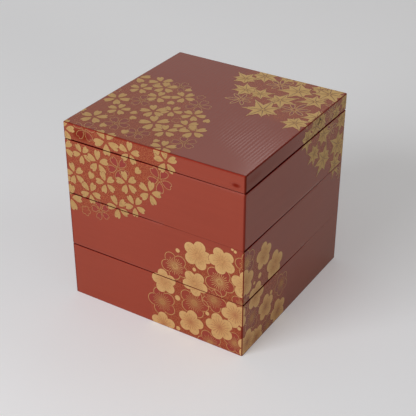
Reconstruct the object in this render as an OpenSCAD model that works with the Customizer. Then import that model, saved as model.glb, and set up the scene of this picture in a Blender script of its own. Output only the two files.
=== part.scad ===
// Three-tier stacked lunch box of lacquered boards, with a lift-off lid.
// X runs along the front, Y from front to back, Z up. The origin is the centre of the footprint, on the table.
// Every tier is a frame of four mitred walls around a bottom board. Four mitred strips glued inside its
// rim stand up as a lip, and the tier or the lid above drops over that lip.

/* [Box] */
// Outside width, along the front
box_w = 195; // [120:1:300]
// Outside depth, from front to back
box_d = 195; // [120:1:300]
// Height of one tier, from its lower edge to its rim
tier_h = 58.3; // [40:0.1:90]
// Height of the lid
lid_h = 17.3; // [15:0.1:30]

/* [Boards] */
// Thickness of the wall boards, and of the rim boards of the lid
wall_t = 6; // [4:0.5:9]
// Thickness of each tier's bottom board
bottom_t = 5; // [3:0.5:8]
// Thickness of the lid's top board
lid_top_t = 6; // [4:0.5:8]
// How deep the bottom board's edge stands in the groove of the walls
groove_depth = 2.5; // [1:0.25:3]

/* [Lip] */
// Thickness of the lip strips
lip_t = 3; // [2:0.25:5]
// Height of the lip above the rim
lip_rise = 5; // [3:0.25:6]
// How far the lip strips reach down inside the rim, where they are glued
lip_grip = 12; // [6:0.5:20]
// Radius on the two upper arrises of the lip
lip_r = 0.8; // [0.3:0.1:0.9]

/* [Fits] */
// Play between the lip and the wall that drops over it, on each side
lip_fit = 0.4; // [0.2:0.1:0.8]
// Space left between the top of the lip and the bottom board above it
lip_headroom = 1.5; // [0.5:0.25:4]

/* [Edges] */
// Radius on the outer arrises of every rim
arris_r = 0.8; // [0.3:0.1:2]
// Radius on the four upright corners
corner_r = 1.2; // [0.5:0.1:4]

/* [Hidden] */
$fn = 48;
tier_names = ["bottom", "middle", "top"];
side_names = ["front", "right", "back", "left"];
last_tier = len(tier_names) - 1;
last_side = len(side_names) - 1;

// The lower edge of the lid, which is also the top tier's rim
lid_z = len(tier_names) * tier_h;
// Height of a bottom board above the lower edge of its tier
bottom_raise = lip_rise + lip_headroom;

lacquer = [0.56, 0.27, 0.22];
inside_lacquer = [0.52, 0.13, 0.08];

function wall_name(tier, side) = str(tier_names[tier], "_tier_", side_names[side], "_wall");
function lip_name(tier, side) = str(tier_names[tier], "_tier_", side_names[side], "_lip");
function floor_name(tier) = str(tier_names[tier], "_tier_bottom_board");
function rim_name(side) = str("lid_", side_names[side], "_rim");

// Length of the box along a side, and the distance from that side to the opposite one
function side_len(side) = side % 2 == 0 ? box_w : box_d;
function side_span(side) = side % 2 == 0 ? box_d : box_w;

// Moves a piece drawn for the front, with the box's outer face on y = 0, to its side of the box
module on_side(side) {
    rotate([0, 0, 90 * side])
        translate([0, -side_span(side) / 2, 0])
            children();
}

// The footprint of the box, drawn behind y = 0, with round upright corners
module footprint(w, d) {
    translate([-w / 2, corner_r])
        square([w, d - 2 * corner_r]);
    translate([corner_r - w / 2, 0])
        square([w - 2 * corner_r, d]);
    for (x = [corner_r - w / 2, w / 2 - corner_r], y = [corner_r, d - corner_r])
        translate([x, y])
            circle(r = corner_r);
}

// The plan of one board: mitred at 45 degrees at both ends, from inset behind the outer face, t thick
module mitred_plan(side, inset, t) {
    half = side_len(side) / 2;
    intersection() {
        polygon([
            [inset - half, inset],
            [half - inset, inset],
            [half - inset - t, inset + t],
            [inset + t - half, inset + t]
        ]);
        footprint(side_len(side), side_span(side));
    }
}

// Carries a cross-section (outer face on x = 0, inwards along +x, up along +y) along the whole side
module along_side(side) {
    translate([-side_len(side) / 2, 0, 0])
        rotate([90, 0, 90])
            linear_extrude(side_len(side))
                children();
}

// One board of a frame: its cross-section, the child, cut to the mitred plan
module frame_board(side, z, h, inset, t) {
    on_side(side)
        translate([0, 0, z])
            intersection() {
                along_side(side)
                    children();
                linear_extrude(h)
                    mitred_plan(side, inset, t);
            }
}

// Cross-section of a wall with both outer arrises rounded
module wall_section(t, h) {
    translate([0, arris_r])
        square([t, h - 2 * arris_r]);
    translate([arris_r, 0])
        square([t - arris_r, h]);
    for (y = [arris_r, h - arris_r])
        translate([arris_r, y])
            circle(r = arris_r);
}

// Cross-section of the lid's rim: only the lower arris is rounded, because the top board lies on it
module rim_section(t, h) {
    translate([0, arris_r])
        square([t, h - arris_r]);
    translate([arris_r, 0])
        square([t - arris_r, h]);
    translate([arris_r, arris_r])
        circle(r = arris_r);
}

// Cross-section of a lip strip, from its lower edge: glued against the wall up to the rim, then set
// back by the play of the fit and rounded at the top
module lip_section() {
    top = lip_grip + lip_rise;
    square([lip_t, lip_grip]);
    translate([lip_fit, 0])
        square([lip_t - lip_fit, top - lip_r]);
    translate([lip_fit + lip_r, 0])
        square([lip_t - lip_fit - 2 * lip_r, top]);
    for (x = [lip_fit + lip_r, lip_t - lip_r])
        translate([x, top - lip_r])
            circle(r = lip_r);
}

// A mitred wall of a tier, grooved inside for the bottom board
module wall_board(tier, side) {
    color(lacquer)
        frame_board(side, tier * tier_h, tier_h, 0, wall_t)
            difference() {
                wall_section(wall_t, tier_h);
                translate([wall_t - groove_depth, bottom_raise])
                    square([wall_t, bottom_t]);
            }
}

// The bottom board of a tier, its four edges standing in the grooves
module bottom_board(tier) {
    w = box_w - 2 * (wall_t - groove_depth);
    d = box_d - 2 * (wall_t - groove_depth);
    color(inside_lacquer)
        translate([-w / 2, -d / 2, tier * tier_h + bottom_raise])
            cube([w, d, bottom_t]);
}

// A lip strip, glued to the inner face of its wall and standing above the rim
module lip_strip(tier, side) {
    color(inside_lacquer)
        frame_board(side, (tier + 1) * tier_h - lip_grip, lip_grip + lip_rise, wall_t, lip_t)
            translate([wall_t, 0])
                lip_section();
}

// A mitred rim board of the lid
module lid_rim(side) {
    color(lacquer)
        frame_board(side, lid_z, lid_h - lid_top_t, 0, wall_t)
            rim_section(wall_t, lid_h - lid_top_t);
}

// Cross-section of the top board across one span: its upper arrises are rounded
module top_section(span) {
    square([span, lid_top_t - arris_r]);
    translate([arris_r, 0])
        square([span - 2 * arris_r, lid_top_t]);
    for (x = [arris_r, span - arris_r])
        translate([x, lid_top_t - arris_r])
            circle(r = arris_r);
}

// The top board, rounded along all four upper arrises and glued down on the rim boards
module lid_top_board() {
    color(lacquer)
        translate([0, 0, lid_z + lid_h - lid_top_t])
            intersection() {
                translate([-box_w / 2, box_d / 2, 0])
                    rotate([90, 0, 0])
                        linear_extrude(box_d)
                            top_section(box_w);
                translate([-box_w / 2, -box_d / 2, 0])
                    rotate([90, 0, 90])
                        linear_extrude(box_w)
                            top_section(box_d);
                translate([0, -box_d / 2, 0])
                    linear_extrude(lid_top_t)
                        footprint(box_w, box_d);
            }
}

for (tier = [0 : last_tier], side = [0 : last_side]) {
    wall_board(tier, side);
    lip_strip(tier, side);
}
for (tier = [0 : last_tier])
    bottom_board(tier);
for (side = [0 : last_side])
    lid_rim(side);
lid_top_board();
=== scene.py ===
# %% [markdown]
# # A stacked lunch box in red lacquer and sprinkled gold
# The construction (boards, lips, joints) is already solid and comes in as a fixed frame. What is left
# for this script is what the eye meets: the coat of lacquer that runs over the boards without a break,
# the gold flowers painted on it, the light and the camera. Everything is in metres, z up.

# %% Load the frame
import math
import bmesh
import bpy
import numpy as np
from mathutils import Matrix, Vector


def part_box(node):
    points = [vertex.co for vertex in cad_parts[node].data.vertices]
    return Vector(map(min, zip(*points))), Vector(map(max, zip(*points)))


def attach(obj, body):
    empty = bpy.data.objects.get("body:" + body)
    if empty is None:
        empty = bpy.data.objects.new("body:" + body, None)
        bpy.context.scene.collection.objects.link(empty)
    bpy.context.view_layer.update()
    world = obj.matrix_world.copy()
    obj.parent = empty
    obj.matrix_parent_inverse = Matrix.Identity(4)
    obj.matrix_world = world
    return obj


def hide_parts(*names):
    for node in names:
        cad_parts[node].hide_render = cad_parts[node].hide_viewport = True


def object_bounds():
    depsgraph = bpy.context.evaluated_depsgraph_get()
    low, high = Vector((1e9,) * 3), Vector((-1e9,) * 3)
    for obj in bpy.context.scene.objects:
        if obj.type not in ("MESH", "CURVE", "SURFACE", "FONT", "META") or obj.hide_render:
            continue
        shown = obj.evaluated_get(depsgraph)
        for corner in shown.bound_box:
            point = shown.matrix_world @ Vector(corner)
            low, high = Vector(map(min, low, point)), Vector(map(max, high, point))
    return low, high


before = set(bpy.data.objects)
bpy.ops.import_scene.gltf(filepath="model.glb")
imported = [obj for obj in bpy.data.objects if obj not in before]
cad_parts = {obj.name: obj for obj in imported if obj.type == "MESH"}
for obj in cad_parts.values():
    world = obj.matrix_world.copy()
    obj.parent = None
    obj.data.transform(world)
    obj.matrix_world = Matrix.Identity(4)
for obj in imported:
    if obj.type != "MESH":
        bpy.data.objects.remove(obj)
cad_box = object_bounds()

# %% [markdown]
# ## The camera
# A portrait lens from the front right, looking down by a third of a right angle. A constraint could aim
# it at the box, but three numbers and two angles say the same and stay fixed. The frame is square, so one
# lens value settles the view in both directions.

# %% Camera
CAMERA_PLACE = (0.4575, -0.7293, 0.6031)
CAMERA_AZIMUTH = math.radians(32.16)
CAMERA_DOWN = math.radians(31.28)
LENS_MM = 86.87

camera_data = bpy.data.cameras.new("camera")
camera_data.lens = LENS_MM
camera_data.sensor_width = 36.0
camera_data.clip_end = 50.0
camera = bpy.data.objects.new("camera", camera_data)
camera.location = CAMERA_PLACE
camera.rotation_euler = (math.pi / 2 - CAMERA_DOWN, 0.0, CAMERA_AZIMUTH)
bpy.context.scene.collection.objects.link(camera)
bpy.context.scene.camera = camera
print("camera at", CAMERA_PLACE)

# %% [markdown]
# ## Sizes read from the frame
# The sizes could be written here again, but nothing should be measured twice: the boxes of a few solids
# give nearly every size that the skins and the gold need. Only the small roundings and the fit of the
# lip are set here.

# %% Sizes
MM = 0.001
BODIES = ["bottom_tier", "middle_tier", "top_tier", "lid"]
TIERS = BODIES[:3]
low, high = (np.array(corner) for corner in cad_box)
WIDTH, DEPTH, TOP = high[0] - low[0], high[1] - low[1], high[2]
HALF = np.array([WIDTH, DEPTH]) / 2

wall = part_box("bottom_tier_front_wall")
floor_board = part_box("bottom_tier_bottom_board")
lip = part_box("bottom_tier_front_lip")
WALL_T = wall[1][1] - wall[0][1]
TIER_H = wall[1][2] - wall[0][2]
LID_Z = TIER_H * len(TIERS)
FLOOR_LOW, FLOOR_HIGH = floor_board[0][2], floor_board[1][2]
LIP_T = lip[1][1] - lip[0][1]
LIP_TOP = lip[1][2] - TIER_H
LIP_GRIP = TIER_H - lip[0][2]
LID_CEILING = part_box("lid_top_board")[0][2]

ARRIS = 0.8 * MM
CORNER = 1.2 * MM
LIP_FIT = 0.4 * MM
print("box %.4f x %.4f x %.4f m, tier %.4f m" % (WIDTH, DEPTH, TOP, TIER_H))

# %% [markdown]
# ## Writing shaders as sums
# A material is a graph of nodes. It could be built node by node and link by link, but that hides what it
# works out. Wrapping a node's output in a small class lets the graph be written as arithmetic instead:
# `mask * 0.5 + noise` adds the two Math nodes by itself.

# %% A socket that can do arithmetic
class Value:
    """One number that varies over the surface: the output socket of a node."""

    def __init__(self, tree, socket):
        self.tree = tree
        self.socket = socket

    def node(self, kind, settings=None, inputs=None, output=0):
        """Adds any node, applies its settings first, fills its sockets, and returns one output."""
        made = self.tree.nodes.new(kind)
        for name, setting in (settings or {}).items():
            setattr(made, name, setting)
        for key, given in (inputs or {}).items():
            if isinstance(given, Value):
                self.tree.links.new(given.socket, made.inputs[key])
            else:
                made.inputs[key].default_value = given
        return Value(self.tree, made.outputs[output])

    def math(self, operation, other=None, clamp=False):
        """A Math node on this and the other, which may be a number or a value."""
        inputs = {0: self} if other is None else {0: self, 1: other}
        return self.node("ShaderNodeMath", {"operation": operation, "use_clamp": clamp}, inputs)

    def __add__(self, other):
        return self.math("ADD", other)

    __radd__ = __add__

    def __mul__(self, other):
        return self.math("MULTIPLY", other)

    __rmul__ = __mul__

    def __sub__(self, other):
        return self.math("SUBTRACT", other)

    def __rsub__(self, other):
        return self.node("ShaderNodeMath", {"operation": "SUBTRACT"}, {0: other, 1: self})

    def clamped(self):
        """This, held between 0 and 1."""
        return self.math("ADD", 0.0, clamp=True)

    def ramp(self, start, end, low=0.0, high=1.0):
        """low up to start, high from end on, smooth in between."""
        settings = {"interpolation_type": "SMOOTHSTEP"}
        inputs = {"Value": self, "From Min": start, "From Max": end, "To Min": low, "To Max": high}
        return self.node("ShaderNodeMapRange", settings, inputs)

    def between(self, colour_a, colour_b):
        """colour_a where this is 0, colour_b where it is 1; either may be a varying colour. A Mix node
        has sockets for numbers, vectors and colours in turn, so the colours are inputs 6 and 7."""
        inputs = {0: self, 6: colour_a, 7: colour_b}
        return self.node("ShaderNodeMix", {"data_type": "RGBA"}, inputs, output=2)


print("shader arithmetic ready")

# %% [markdown]
# ## Patterns on a finish
# Lacquer and gold are never one flat colour: they cloud, streak, wear and sparkle. Painted images would
# do, but noise that is worked out at each point has no seams and no limit to its fineness. Each finish is
# one Principled shader, and its patterns read where a point lies on the piece, in metres.

# %% A finish and its patterns
BRUSH_PITCH = 0.0036
BRUSH_FADE = (-0.085, -0.045)


class Finish:
    """A material with one Principled shader, and the places that its patterns read."""

    def __init__(self, name, **constants):
        self.material = bpy.data.materials.new(name)
        self.material.use_nodes = True
        self.tree = self.material.node_tree
        self.shader = self.tree.nodes["Principled BSDF"]
        self.root = Value(self.tree, None)
        for socket, constant in constants.items():
            self.shader.inputs[socket.replace("_", " ")].default_value = constant

    def place(self, scale=(1.0, 1.0, 1.0), shift=(0.0, 0.0, 0.0)):
        """Where a point is on the piece: its place in metres, times scale, plus shift."""
        here = self.root.node("ShaderNodeTexCoord", output="Object")
        inputs = {"Vector": here, "Location": shift, "Scale": scale}
        return self.root.node("ShaderNodeMapping", {}, inputs)

    def noise(self, scale, stretch=(1.0, 1.0, 1.0), detail=2.0):
        """Soft random clouds from 0 to 1, scale of them to a metre, packed closer by stretch."""
        inputs = {"Vector": self.place(stretch), "Scale": scale, "Detail": detail}
        return self.root.node("ShaderNodeTexNoise", {}, inputs)

    def brushed(self):
        """Brush marks from front to back, BRUSH_PITCH metres apart, wandering a little, and dying out
        towards the front edge. At scale 1 the Wave node makes 20 / tau bands to a metre."""
        settings = {"wave_type": "BANDS", "bands_direction": "X"}
        bands = {"Vector": self.place((1.0, 0.12, 1.0)), "Scale": math.tau / 20 / BRUSH_PITCH,
                 "Distortion": 6.5, "Detail": 3.0, "Detail Scale": 0.45}
        wave = self.root.node("ShaderNodeTexWave", settings, bands, output="Fac")
        back = self.root.node("ShaderNodeSeparateXYZ", {}, {"Vector": self.place()}, output="Y")
        return (wave - 0.5) * back.ramp(*BRUSH_FADE) + 0.5

    def spot(self, place, reach):
        """1 at a place, falling to 0 at the given half widths around it, all in metres."""
        shift = tuple(-p / r for p, r in zip(place, reach))
        around = {"Vector": self.place(tuple(1 / r for r in reach), shift)}
        settings = {"gradient_type": "SPHERICAL"}
        return self.root.node("ShaderNodeTexGradient", settings, around, output="Fac")

    def attribute(self, name):
        """A number stored on the piece's points; 0 on a piece that has none of that name."""
        return self.root.node("ShaderNodeAttribute", {"attribute_name": name}, output="Fac")

    def feed(self, socket, value):
        """Lets a value drive one socket of the shader."""
        self.tree.links.new(value.socket, self.shader.inputs[socket])

    def relief(self, height, distance):
        """Raises the surface by height times distance, in metres, in the shading only."""
        inputs = {"Height": height, "Distance": distance}
        self.feed("Normal", self.root.node("ShaderNodeBump", {}, inputs))


def paint(red, green, blue):
    """A solid colour, from its three linear parts."""
    return (red, green, blue, 1.0)


print("patterns: noise, brush marks, spots, numbers on the points")

# %% [markdown]
# ## The lacquered skins
# On the real box the lacquer runs over the mitred corners without a seam, so each frame of four walls
# shows as one smooth skin. It could be four boxes with bevels, but then the joints would show. Here a
# profile (how far in, how high, how round at the corners) is carried once around the square plan.
# Each tier has three skins, as it has three kinds of board: the walls, the floor and the raised lip.

# %% A profile carried round the plan
SIDE_STEPS = 65
ARC_STEPS = 5
END_STRIP = 0.0075


def plan_of_ring():
    """Corner centres (as -1 to 1) and outward directions round the square, one side and arc at a time."""
    inner_end = 1 - END_STRIP
    along = np.concatenate([[-1.0], np.linspace(-inner_end, inner_end, SIDE_STEPS - 1), [1.0]])
    turn = np.linspace(0, math.pi / 2, ARC_STEPS + 1)[1:-1]
    centre_x = np.concatenate([along, np.ones_like(turn)])
    outward_x = np.concatenate([np.zeros_like(along), np.sin(turn)])
    outward_y = np.concatenate([-np.ones_like(along), -np.cos(turn)])
    centre = np.stack([centre_x, -np.ones_like(centre_x)], axis=1)
    outward = np.stack([outward_x, outward_y], axis=1)
    quarter = np.array([[0.0, 1.0], [-1.0, 0.0]])
    turns = [np.linalg.matrix_power(quarter, k) for k in range(4)]
    return np.concatenate([centre @ t for t in turns]), np.concatenate([outward @ t for t in turns])


CORNERS, OUTWARD = plan_of_ring()
RING = len(CORNERS)


def carried_round(profile):
    """Point (k, j) = corner centre j times (half size - inset k - radius k) + radius k times outward j,
    at height k. The profile's rows are inset, height, corner radius."""
    inset, height, radius = (column[:, None, None] for column in np.asarray(profile, float).T)
    plan = CORNERS[None] * (HALF - inset - radius) + OUTWARD[None] * radius
    heights = np.broadcast_to(height, plan.shape[:2] + (1,))
    return np.concatenate([plan, heights], axis=2)


def grid_faces(rows, columns, closed_rows):
    """Quads between neighbouring rows and columns; the columns always close on themselves."""
    last = rows if closed_rows else rows - 1
    k, j = np.meshgrid(np.arange(last), np.arange(columns), indexing="ij")
    k_next, j_next = (k + 1) % rows, (j + 1) % columns
    corners = [k * columns + j, k * columns + j_next, k_next * columns + j_next, k_next * columns + j]
    return np.stack(corners, axis=-1).reshape(-1, 4)


def arc(inset, height, start, end, radius, steps=4):
    """Quarter round of an arris: centre (inset, height), from start to end degrees, 0 pointing inwards."""
    turn = np.radians(np.linspace(start, end, steps + 1))
    return np.stack([inset + radius * np.cos(turn), height + radius * np.sin(turn)], axis=1)


def rows_between(start, end, step=3 * MM):
    """Points from start to end, ends left out, so that a smooth mask has somewhere to sit."""
    start, end = np.array(start), np.array(end)
    count = max(1, int(round(np.linalg.norm(end - start) / step)))
    share = np.linspace(0, 1, count + 1)[1:-1, None]
    return start + share * (end - start)


print("ring of", RING, "points")

# %% [markdown]
# ## Where the gold dust lies
# Inside each flower roundel the ground is sprinkled with fine gold powder that thins out towards the
# rim of the circle. A ball round each centre would be an easy mask, but it reaches too far where the
# circle runs over an edge of the box. So the distance is measured on the unfolded faces, and stored on
# the skins as an attribute for the shader to read.

# %% Dust mask
# Each roundel's centre on its unfolded faces and its radius, in mm.
ROUNDELS = {
    "cherry": (14, 17, 113),
    "maple": (178, 194, 96),
    "plum": (184, 170, 94),
}
DUST_FADE = 14


def dust_at(points):
    """1 inside a roundel, fading to 0 over DUST_FADE mm at its rim, measured on the unfolded faces."""
    across, back = ((points[:, axis] + HALF[axis]) / MM for axis in (0, 1))
    down = (TOP - points[:, 2]) / MM
    width, depth = WIDTH / MM, DEPTH / MM
    gaps = np.stack([back, width - across, depth - back, across, down], axis=1)
    face = gaps.argmin(axis=1)
    front, right, rear, left = (face == k for k in range(4))
    unfolded = {
        "cherry": (across - down * left, back - down * front, ~(right | rear)),
        "maple": (across + down * right, back + down * rear, ~(front | left)),
        "plum": (np.where(right, width + back, across), down, front | right),
    }
    share = np.zeros(len(points))
    for flower, (u, v, reached) in unfolded.items():
        centre_u, centre_v, radius = ROUNDELS[flower]
        inside = (radius - np.hypot(u - centre_u, v - centre_v)) / DUST_FADE
        share = np.maximum(share, inside * reached)
    share = np.minimum(share, 1)
    return share * share * (3 - 2 * share)


print("dust circles:", ROUNDELS)

# %% [markdown]
# ## From arrays to pieces
# Every shape here ends the same way: arrays of points and faces become a mesh, the mesh gets its numbers
# and its finish, and the piece is told which body it rides on. Blender's primitives and modifiers could
# give the plain shapes, but not with the powder and the wear known at each point.

# %% Making pieces
CREASE = math.radians(35)


def new_piece(name, points, faces, finish, body, attributes=None, smooth=True):
    """A mesh object from arrays, with its finish and body."""
    mesh = bpy.data.meshes.new(name)
    mesh.from_pydata(points, [], faces)
    for key, numbers in (attributes or {}).items():
        layer = mesh.attributes.new(key, "FLOAT", "POINT")
        layer.data.foreach_set("value", np.asarray(numbers, np.float32))
    mesh.materials.append(finish.material)
    if smooth:
        mesh.polygons.foreach_set("use_smooth", np.ones(len(mesh.polygons), bool))
    mesh.update()
    piece = bpy.data.objects.new(name, mesh)
    bpy.context.scene.collection.objects.link(piece)
    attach(piece, body)
    return piece


def close_up(piece):
    """Merges the points that meet at a pole, turns every face outwards, keeps the edges crisp."""
    work = bmesh.new()
    work.from_mesh(piece.data)
    bmesh.ops.remove_doubles(work, verts=work.verts, dist=1e-7)
    bmesh.ops.recalc_face_normals(work, faces=work.faces)
    work.to_mesh(piece.data)
    work.free()
    piece.data.set_sharp_from_angle(angle=CREASE)


print("bodies that pieces ride on:", BODIES)

# %% [markdown]
# ## The lacquer
# Red lacquer is a clear gloss over a deep brownish red. One Principled shader does both: the base
# colour is the pigment, and the shader's own specular reflection is the gloss that greys it on faces
# that mirror a bright room. The box has more to show: brush marks on the lid's top and a few darker
# spots in the lid's rim. Painted shade is added as well. Each arris gets a darker, deeper red for the
# dark room that a rounded arris mirrors, and so does each slot. Among the rim's spots are a patch with
# no sheen and a darker band along the rim's right side. Images could hold all that. Here the skins carry
# numbers instead (powder, painted edge shade, level, inside), and the shader mixes by them.

# %% Lacquer finishes
LACQUER_RED = paint(0.300, 0.033, 0.010)
CLOUD_RED = paint(0.280, 0.029, 0.008)
GROUND_RED = paint(0.270, 0.020, 0.012)
INSIDE_RED = paint(0.330, 0.030, 0.014)
# Painted shade: the darker red on each arris, for the dark room that a rounded arris mirrors, and on the
# faces of each slot, for the shade in the slot.
ARRIS_SHADE_RED = paint(0.175, 0.008, 0.001)
SLOT_SHADE_RED = paint(0.225, 0.005, 0.001)
# The tones of the darker spots in the lid's rim. The brown one is a band of painted shade.
RIM_SPOT_RED = paint(0.205, 0.011, 0.002)
PAINTED_SHADE_BROWN = paint(0.030, 0.010, 0.004)
DUST_GOLD = paint(0.54, 0.22, 0.07)
# The light gold that the gold on the lid's top is painted towards: painted light.
PAINTED_LIGHT_GOLD = paint(1.0, 0.72, 0.30)

LACQUER_ROUGH = 0.26
LEVEL_GLOSS = 0.10
# How much the painted shade blurs the gloss and turns it metallic, so that it mirrors in its own dark red.
SHADED_EDGE_ROUGH = 0.3
SHADED_EDGE_METAL = 0.9
CLOUD_SCALE = 9.0
STREAK_HEIGHT = 0.00006
SIDE_STREAKS = (1.0, (10.0, 10.0, 260.0))
SPECK_SCALE = 2600.0
SPECK_SHOWS = 0.58
SPECK_METAL = 0.45
SPECK_ROUGH = 0.15
DUST_METAL = 0.18

# Each darker spot in the lid's rim: how strong, where, its half widths, its tone. The third, at the left
# end of the front, is painted shade where the rim shows no sheen. The last is a band of painted shade
# along the right side of the rim.
DARK_RIM_SPOTS = (
    (1.0, (0.0880, -0.0975, 0.1808), (0.0060, 0.010, 0.0030), RIM_SPOT_RED),
    (0.20, (0.0975, -0.0820, 0.1845), (0.010, 0.0180, 0.0060), RIM_SPOT_RED),
    (0.8, (-0.0770, -0.0975, 0.1835), (0.0170, 0.010, 0.0090), RIM_SPOT_RED),
    (0.30, (0.0975, -0.0975, 0.1845), (0.0015, 0.150, 0.0300), PAINTED_SHADE_BROWN),
)


def lacquer_finish(name, skin=True, rim_spots=()):
    """Deep red under gloss. A skin also carries the brush marks, the powder, and painted shade on its
    arrises and in its slots.
    """
    finish = Finish(name, Roughness=LACQUER_ROUGH, IOR=1.5)
    clouds = finish.noise(CLOUD_SCALE, detail=1.0).ramp(0.35, 0.65)
    edge_shade_and_spots = finish.attribute("edge")
    if skin:
        level, dust = finish.attribute("level"), finish.attribute("dust")
        marks = finish.brushed() * level + finish.noise(*SIDE_STREAKS) * (1.0 - level)
        cloudy = clouds * 0.5 + marks.ramp(0.3, 0.7) * 0.5
        specks = finish.noise(SPECK_SCALE, detail=0.0).ramp(0.54, 0.66) * dust
        colour = (specks * SPECK_SHOWS).between(cloudy.between(LACQUER_RED, CLOUD_RED), DUST_GOLD)
        # Painted shade: the arris red on arrises and corners, the slot red in the slots.
        colour = edge_shade_and_spots.between(colour, edge_shade_and_spots.ramp(0.9, 1.0).between(ARRIS_SHADE_RED, SLOT_SHADE_RED))
        rough = finish.noise(25.0).ramp(0.3, 0.7, 0.22, LACQUER_ROUGH)
        rough = rough - level * LEVEL_GLOSS + specks * SPECK_ROUGH
        metal = dust * DUST_METAL + specks * SPECK_METAL
        finish.relief(marks, STREAK_HEIGHT)
    else:
        colour = clouds.between(GROUND_RED, CLOUD_RED)
        rough, metal = LACQUER_ROUGH, 0.0
    # The darker spots in the lid's rim. The patch with no sheen and the band along the right side are
    # painted shade.
    for strength, place, reach, tone in rim_spots:
        rim_spot = finish.spot(place, reach).ramp(0.0, 0.8) * strength
        colour = rim_spot.between(colour, tone)
        edge_shade_and_spots = edge_shade_and_spots + rim_spot
    edge_shade_and_spots = edge_shade_and_spots.clamped()
    if skin:
        colour = finish.attribute("inside").between(colour, INSIDE_RED)
    finish.feed("Base Color", colour)
    # Where the painted shade and the rim's spots lie, the gloss is blurred and tinted by the metal, so
    # that no pale sheen greys them.
    finish.feed("Roughness", rough + edge_shade_and_spots * SHADED_EDGE_ROUGH)
    finish.feed("Metallic", metal + edge_shade_and_spots * SHADED_EDGE_METAL)
    return finish


tier_lacquer = lacquer_finish("tier_lacquer")
lid_lacquer = lacquer_finish("lid_lacquer", rim_spots=DARK_RIM_SPOTS)
plain_lacquer = lacquer_finish("plain_lacquer", skin=False, rim_spots=DARK_RIM_SPOTS)

inside_lacquer = Finish("inside_lacquer", IOR=1.5)
inside_clouds = inside_lacquer.noise(7.0).ramp(0.3, 0.7)
inside_lacquer.feed("Base Color", inside_clouds.between(INSIDE_RED, LACQUER_RED))
inside_lacquer.feed("Roughness", inside_lacquer.noise(50.0).ramp(0.3, 0.7, 0.2, 0.28))
print("lacquers:", [made.name for made in bpy.data.materials])

# %% [markdown]
# ## Sprinkled gold
# The gold is powder sifted onto wet lacquer, so it is part metal, part matt. It is thickest at a
# flower's rim, where the brush left the most lacquer to hold it. On the lid's top it is painted lighter,
# as painted light. Each flower was done with its own powder, so each has its own three tones, and the fine
# lines of the plums are redder than their filled lobes. A metal shader alone would go black where it
# mirrors a dark room; a part of matt colour keeps the gold warm from every side.

# %% Gold finishes
GRAIN_SCALE = 1800.0
THIN_SCALE = 650.0
# How far the gold on the lid's top is painted lighter: painted light.
TOP_GOLD_LIGHT = 0.14

# The tone at the centre, at the rim, and where the powder is thin.
GOLD_TONES = {
    "cherry": ((0.50, 0.28, 0.10), (0.54, 0.335, 0.135), (0.32, 0.17, 0.06)),
    "plum": ((0.61, 0.325, 0.13), (0.70, 0.45, 0.195), (0.46, 0.25, 0.085)),
    "maple": ((0.55, 0.34, 0.12), (0.62, 0.42, 0.17), (0.40, 0.24, 0.08)),
    "plum_line": ((0.43, 0.19, 0.065), (0.60, 0.36, 0.14), (0.34, 0.15, 0.05)),
}


def gold_finish(name, body, edge, shadow):
    """Powder over lacquer: body at a flower's centre, edge at its rim, flecks of shadow in between."""
    finish = Finish(name, Metallic=0.65, IOR=1.5)
    grain = finish.noise(GRAIN_SCALE, detail=1.0).ramp(0.3, 0.7)
    thin = finish.noise(THIN_SCALE, detail=1.0).ramp(0.50, 0.72) * 0.5
    tint = finish.attribute("from_centre") * 0.8 + grain * 0.2
    powder = thin.between(tint.between(body, edge), shadow)
    # Painted light: the gold on the lid's top is made lighter.
    finish.feed("Base Color", (finish.attribute("level") * TOP_GOLD_LIGHT).between(powder, PAINTED_LIGHT_GOLD))
    finish.feed("Roughness", grain * 0.12 + 0.42)
    return finish


GOLDS = {}
for flower, tones in GOLD_TONES.items():
    GOLDS[flower] = gold_finish(flower + "_gold", *(paint(*tone) for tone in tones))
print("golds:", list(GOLDS))

# %% [markdown]
# ## The tiers
# A tier is a tray: four walls, a floor let into them, and a thin lip inside its rim that the next tier
# slips over. The lacquer is rounded off where two tiers meet, which leaves a fine dark slot all round.
# The slot is nowhere even: it gapes by two millimetres in one place and is all but closed in another. A
# groove of one width would look machined, so the rows of points beside a joint are drawn away from it or
# towards it, by a few values spread along the front and the right side.

# %% The section of a wall
INNER = WALL_T + 0.02 * MM
SOFT = 0.3 * MM
SLOT_HALF = 0.55 * MM
SLOT_DEEP = 3.0 * MM
STEP_IN = 0.2 * MM
TIGHT_CORNER = 0.5 * MM
LIP_CORNER = 0.4 * MM
BOARD_TUCK = 1.0 * MM
ARRIS_STRIP = 0.6 * MM
JUST_PAST = 1.01

# For each joint, the gape along the front from the left, then along the right side from the front.
JOINT_FIT = {
    1: ((0.95, 0.85, 0.50, 0.30), (2.2, 1.3, 0.18, 0.06)),
    2: ((1.15, 0.85, 0.12, 0.10), (1.8, 0.9, 0.4, 0.3)),
    3: ((1.15, 1.15, 0.62, 0.40), (1.8, 1.8, 1.6, 1.1)),
}
EVEN_FIT = 0.9
SIDE_REACH = 4 * MM


def stepped(edge_z, up):
    """A wall's edge at a joint: a softened arris, then a shallow step in to the face that bears."""
    shy = edge_z + up * SLOT_HALF
    turn = (270, 180) if up > 0 else (180, 90)
    outer = arc(SOFT, shy + up * SOFT, *turn, SOFT, steps=3)
    step = np.array([(SLOT_DEEP, edge_z), (SLOT_DEEP, shy), (SOFT + STEP_IN, shy)])
    return np.concatenate([step, outer]) if up > 0 else np.concatenate([outer, step[::-1]])


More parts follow.
